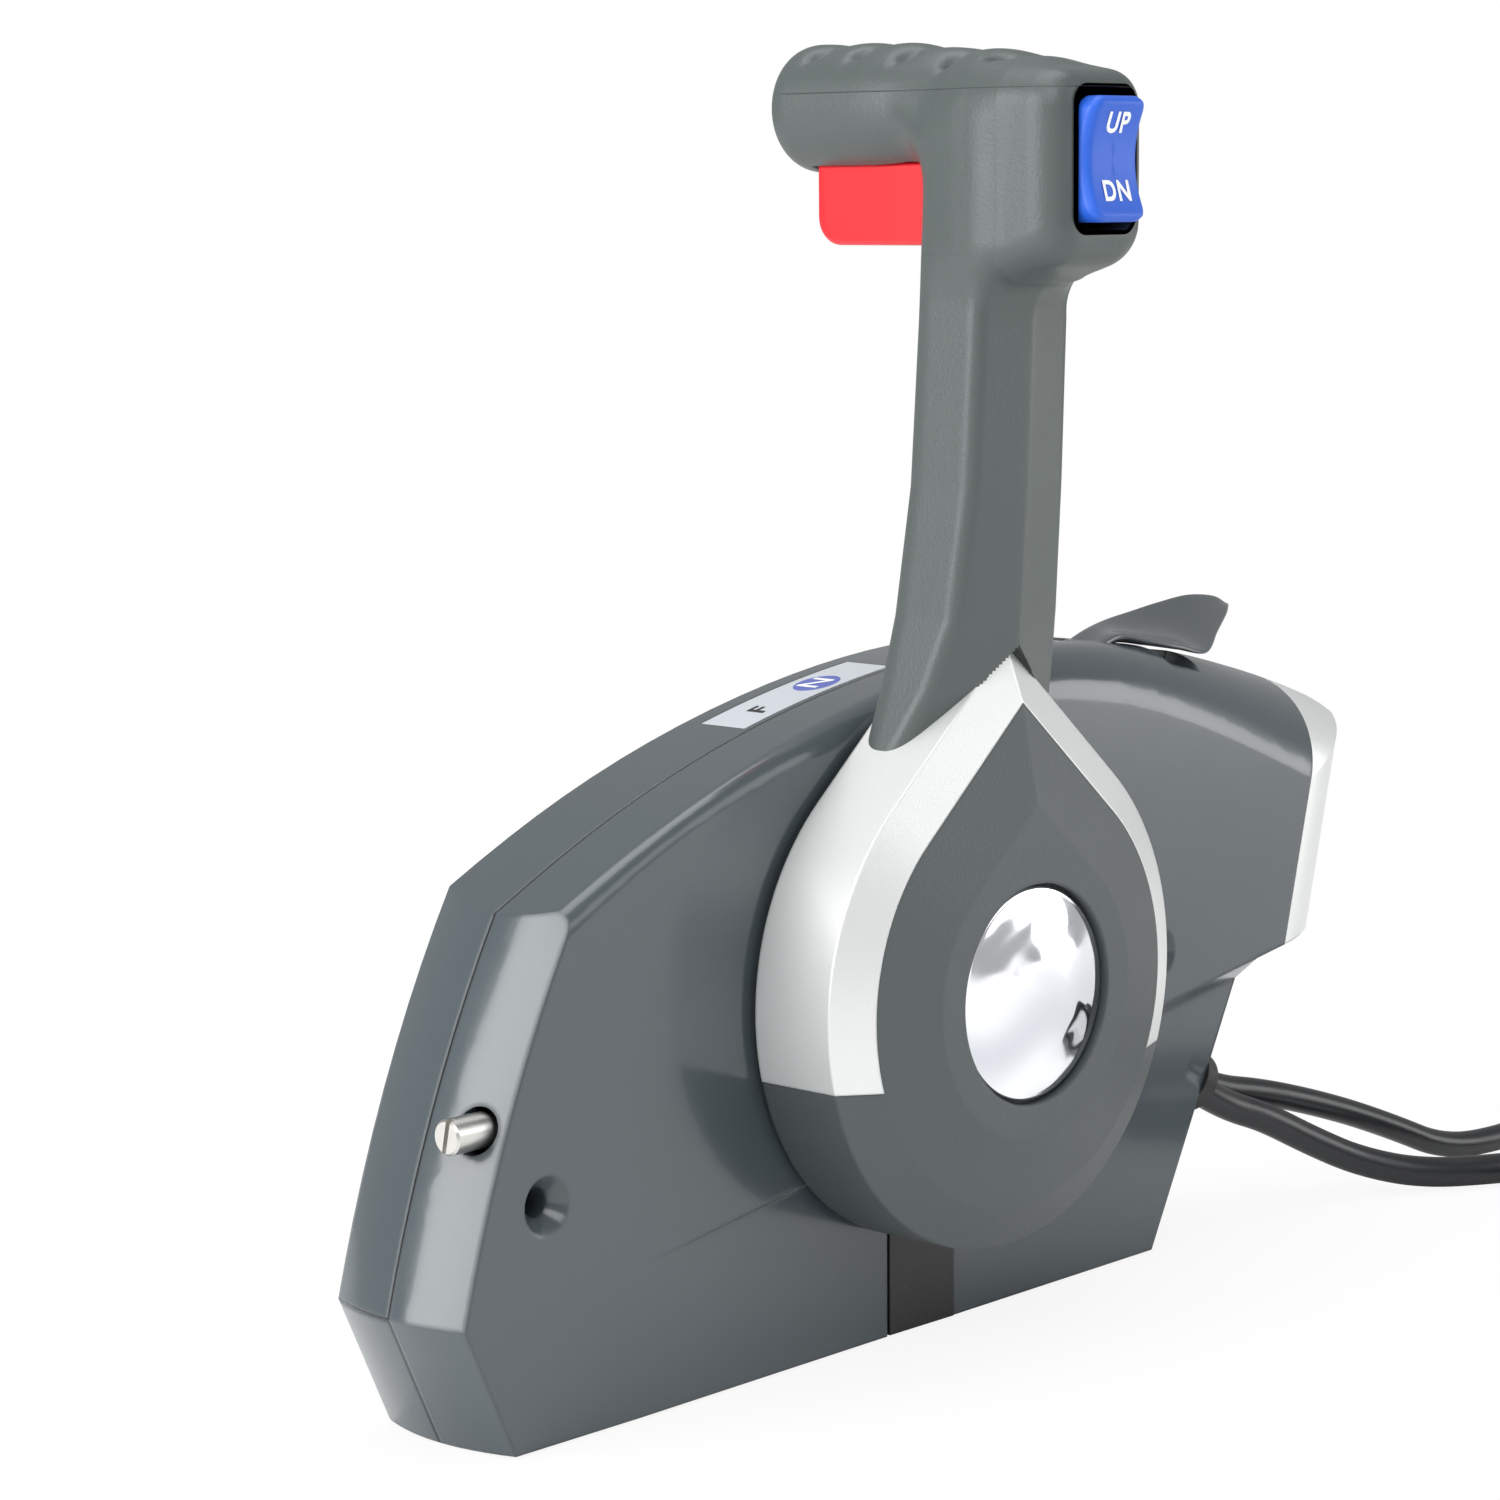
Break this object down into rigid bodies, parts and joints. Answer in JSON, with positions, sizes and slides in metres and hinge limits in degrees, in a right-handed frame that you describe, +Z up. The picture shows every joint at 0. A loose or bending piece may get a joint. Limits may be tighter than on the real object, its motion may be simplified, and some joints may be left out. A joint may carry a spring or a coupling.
{
  "type": "boat throttle control lever",
  "caption": "Side-mount boat remote control: shift and throttle lever with neutral lock bar, trim rocker, fast idle lever and two coiled leads.",
  "frame": {"origin": "centre of the flat base of the control box, on the surface it stands on, leads left out", "axes": "+X aft along the box, +Y toward the mounting wall, -Y toward the operator, +Z up"},
  "size_m": [0.5005, 0.1643, 0.2982],
  "materials": {
    "housing_paint": "semi-gloss dark blue-grey",
    "silver_paint": "satin silver paint",
    "hub_plastic": "fine-textured dark grey",
    "handle_plastic": "fine-textured dark green-grey",
    "black_plastic": "black",
    "indicator_black": "black with pale letters",
    "black_rubber": "black",
    "lead_sheath": "black vinyl sheath",
    "zinc_steel": "zinc plated",
    "cast_aluminium": "cast",
    "white_nylon": "natural nylon",
    "brass_nut": "turned",
    "emblem_chrome": "bright dome, blank",
    "red_plastic": "red",
    "blue_plastic": "blue with white letters"
  },
  "bodies": {
    "housing": {"front_housing": "housing_paint", "rear_housing": "housing_paint", "end_cover": "housing_paint", "end_trim": "silver_paint", "front_slot_cover": "black_plastic", "gear_indicator_plate": "indicator_black", "cable_grommet": "black_rubber", "case_screws": "zinc_steel", "chassis_plate": "zinc_steel", "chassis_screws": "zinc_steel", "shaft_bush_front": "white_nylon", "shaft_bush_rear": "white_nylon", "neutral_gate": "zinc_steel", "shift_spindle": "zinc_steel", "throttle_spindle": "zinc_steel", "detent_pin": "zinc_steel", "idle_pin": "zinc_steel", "friction_nut": "brass_nut", "neutral_switch": "black_plastic", "trim_lead": "lead_sheath", "trim_lead_coil": "lead_sheath", "trim_connector": "black_plastic", "harness_lead": "lead_sheath", "harness_lead_coil": "lead_sheath", "harness_connector": "black_plastic"},
    "lever": {"hub_cover": "hub_plastic", "hub_trim": "silver_paint", "emblem_disc": "emblem_chrome", "handle_shell": "handle_plastic", "lever_core": "cast_aluminium", "main_shaft": "zinc_steel", "lever_bolt": "zinc_steel", "hub_screws": "zinc_steel", "drive_gear": "cast_aluminium", "trim_switch_body": "black_plastic", "rocker_pin": "zinc_steel", "lock_spring": "zinc_steel"},
    "lock": {"lock_bar": "red_plastic", "lock_rod": "zinc_steel", "lock_pin": "zinc_steel"},
    "rocker": {"trim_rocker": "blue_plastic"},
    "idle": {"idle_lever": "housing_paint"},
    "shift": {"shift_gear": "zinc_steel", "shift_arm": "zinc_steel"},
    "throttle": {"throttle_gear": "zinc_steel", "throttle_arm": "zinc_steel"},
    "shoe": {"friction_shoe": "black_rubber"},
    "screw": {"friction_screw": "zinc_steel"},
    "detent": {"detent_leaf": "zinc_steel"},
    "roller": {"detent_roller": "zinc_steel"},
    "plunger": {"switch_plunger": "red_plastic"}
  },
  "joints": [
    {"name": "lever_turn", "type": "hinge", "parent": "housing", "child": "lever", "pos_m": [-0.01445, 0.0145, 0.084], "axis": [0, 1, 0], "range_deg": [-90, 60]},
    {"name": "lock_slide", "type": "slide", "parent": "lever", "child": "lock", "axis": [0, 0, 1], "range_m": [0, 0.006], "stiffness_N_per_m": 400, "springref_m": -0.008, "deforming": ["lock_spring"]},
    {"name": "trim_rocker_tilt", "type": "hinge", "parent": "lever", "child": "rocker", "pos_m": [-0.01445, -0.0345, 0.271], "axis": [1, 0, 0], "range_deg": [-6, 6], "stiffness_Nm_per_rad": 0.3},
    {"name": "idle_turn", "type": "hinge", "parent": "housing", "child": "idle", "pos_m": [0.06755, 0.0275, 0.141], "axis": [0, 1, 0], "range_deg": [-55, 0]},
    {"name": "shift_turn", "type": "hinge", "parent": "housing", "child": "shift", "pos_m": [-0.05145, 0.0245, 0.05342], "axis": [0, 1, 0], "range_deg": [-84.5, 126.5]},
    {"name": "throttle_turn", "type": "hinge", "parent": "housing", "child": "throttle", "pos_m": [0.02255, 0.0245, 0.05342], "axis": [0, 1, 0], "range_deg": [-84.5, 126.5]},
    {"name": "shoe_slide", "type": "slide", "parent": "housing", "child": "shoe", "axis": [1, 0, 0], "range_m": [0, 0.00127]},
    {"name": "screw_turn", "type": "hinge", "parent": "shoe", "child": "screw", "pos_m": [-0.11445, 0.0155, 0.07], "axis": [1, 0, 0], "range_deg": [0, 360]},
    {"name": "detent_lift", "type": "hinge", "parent": "housing", "child": "detent", "pos_m": [-0.05445, 0.0195, 0.124], "axis": [0, 1, 0], "range_deg": [-6, 0], "stiffness_Nm_per_rad": 1, "springref_deg": 11.46},
    {"name": "roller_spin", "type": "hinge", "parent": "detent", "child": "roller", "pos_m": [-0.01445, 0.0155, 0.1203], "axis": [0, 1, 0], "continuous": true},
    {"name": "plunger_slide", "type": "slide", "parent": "housing", "child": "plunger", "axis": [1, 0, 0], "range_m": [0, 0.0015], "stiffness_N_per_m": 200, "springref_m": -0.003}
  ],
  "couplings": [
    {"joint": "shift_turn", "follows": "lever_turn", "ratio": -1.4},
    {"joint": "throttle_turn", "follows": "lever_turn", "ratio": -1.4},
    {"joint": "screw_turn", "follows": "shoe_slide", "rad_per_m": 4947.4}
  ]
}
